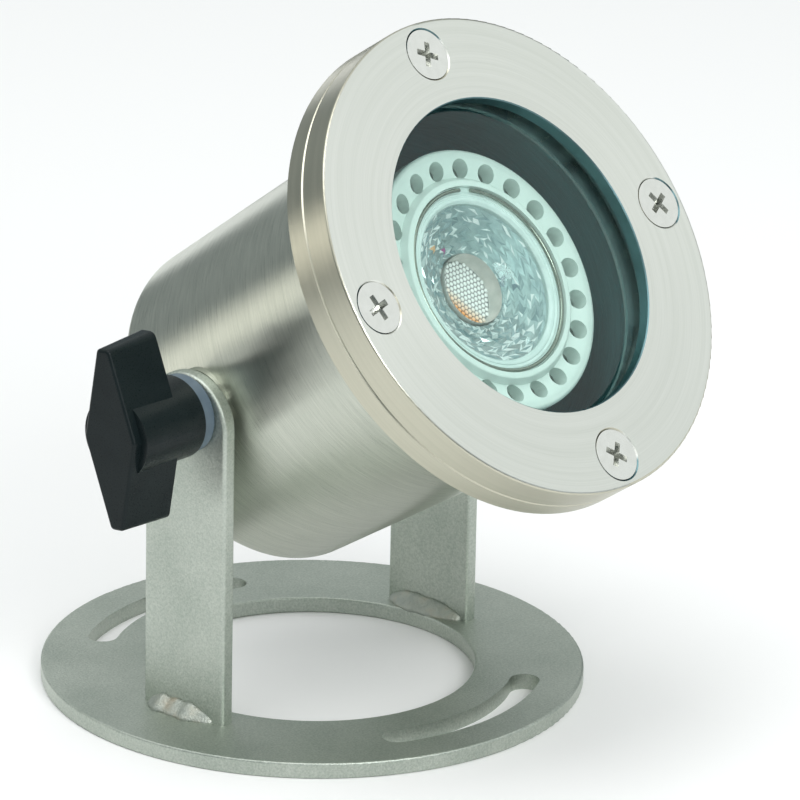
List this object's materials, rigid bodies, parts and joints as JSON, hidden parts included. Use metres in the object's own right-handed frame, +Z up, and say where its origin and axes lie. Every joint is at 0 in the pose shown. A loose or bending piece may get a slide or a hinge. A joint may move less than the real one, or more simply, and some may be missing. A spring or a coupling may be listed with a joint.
{
  "type": "underwater pond light",
  "caption": "Stainless underwater pond light: round tilting lamp head with a bolted bezel, wing knobs, two arms and a slotted ring base.",
  "frame": {"origin": "centre of the base ring, on its underside where it stands on the ground", "axes": "+Z up, the lamp head faces -Y and upwards, the tilt axis runs along X"},
  "size_m": [0.1118, 0.1227, 0.1292],
  "materials": {
    "blasted_steel": "bead blasted",
    "weld_steel": "weld bead with light heat tint",
    "brushed_steel": "brushed",
    "turned_steel": "fine turned",
    "screw_steel": "polished",
    "window_glass": "clear, slight green tint",
    "silicone": "translucent grey",
    "lamp_plastic": "satin white",
    "lamp_lens": "clear moulded",
    "plated_brass": "nickel plated",
    "heatsink_aluminium": "bare",
    "phosphor": "yellow phosphor",
    "circuit_board": "solder mask",
    "holder_ceramic": "matte steatite",
    "bracket_steel": "mill finish",
    "terminal_plastic": "natural nylon",
    "wire_insulation": "silicone sleeve",
    "knob_plastic": "satin black",
    "nylon": "natural nylon"
  },
  "bodies": {
    "base": {"base_ring": "blasted_steel", "left_arm": "blasted_steel", "right_arm": "blasted_steel", "arm_welds": "weld_steel"},
    "head": {"bezel_ring": "turned_steel", "bezel_screws": "screw_steel", "body_can": "brushed_steel", "body_flange": "turned_steel", "gland_body": "plated_brass", "gland_cap": "plated_brass", "gland_locknut": "plated_brass", "gland_seal": "silicone", "gland_washer": "silicone", "holder_bracket": "bracket_steel", "holder_contacts": "plated_brass", "holder_nuts": "screw_steel", "holder_screws": "screw_steel", "lamp_base": "lamp_plastic", "lamp_driver": "circuit_board", "lamp_front": "lamp_plastic", "lamp_heatsink": "heatsink_aluminium", "lamp_holder": "holder_ceramic", "lamp_lens": "lamp_lens", "lamp_pins": "plated_brass", "lamp_shell": "lamp_plastic", "lead_wire_a": "wire_insulation", "lead_wire_b": "wire_insulation", "led_board": "heatsink_aluminium", "led_emitter": "phosphor", "left_pivot_boss": "brushed_steel", "lens_gasket": "silicone", "lens_glass": "window_glass", "lens_snap_ring": "screw_steel", "right_pivot_boss": "brushed_steel", "terminal_block": "terminal_plastic", "terminal_screws": "screw_steel"},
    "left_washer": {"left_washer": "nylon"},
    "left_knob": {"left_knob": "knob_plastic", "left_stud": "screw_steel"},
    "right_washer": {"right_washer": "nylon"},
    "right_knob": {"right_knob": "knob_plastic", "right_stud": "screw_steel"}
  },
  "joints": [
    {"name": "head_tilt", "type": "hinge", "parent": "base", "child": "head", "pos_m": [0, 0, 0.0608], "axis": [1, 0, 0], "range_deg": [-155, 45]},
    {"name": "left_washer_slide", "type": "slide", "parent": "head", "child": "left_washer", "axis": [-1, 0, 0], "range_m": [0, 0.002]},
    {"name": "left_knob_turn", "type": "hinge", "parent": "left_washer", "child": "left_knob", "pos_m": [-0.045, 0, 0.0608], "axis": [-1, 0, 0], "range_deg": [0, 720]},
    {"name": "right_washer_slide", "type": "slide", "parent": "head", "child": "right_washer", "axis": [1, 0, 0], "range_m": [0, 0.002]},
    {"name": "right_knob_turn", "type": "hinge", "parent": "right_washer", "child": "right_knob", "pos_m": [0.045, 0, 0.0608], "axis": [1, 0, 0], "range_deg": [0, 720]}
  ],
  "couplings": [
    {"joint": "left_knob_turn", "follows": "left_washer_slide", "rad_per_m": 6283.2},
    {"joint": "right_knob_turn", "follows": "right_washer_slide", "rad_per_m": 6283.2}
  ]
}
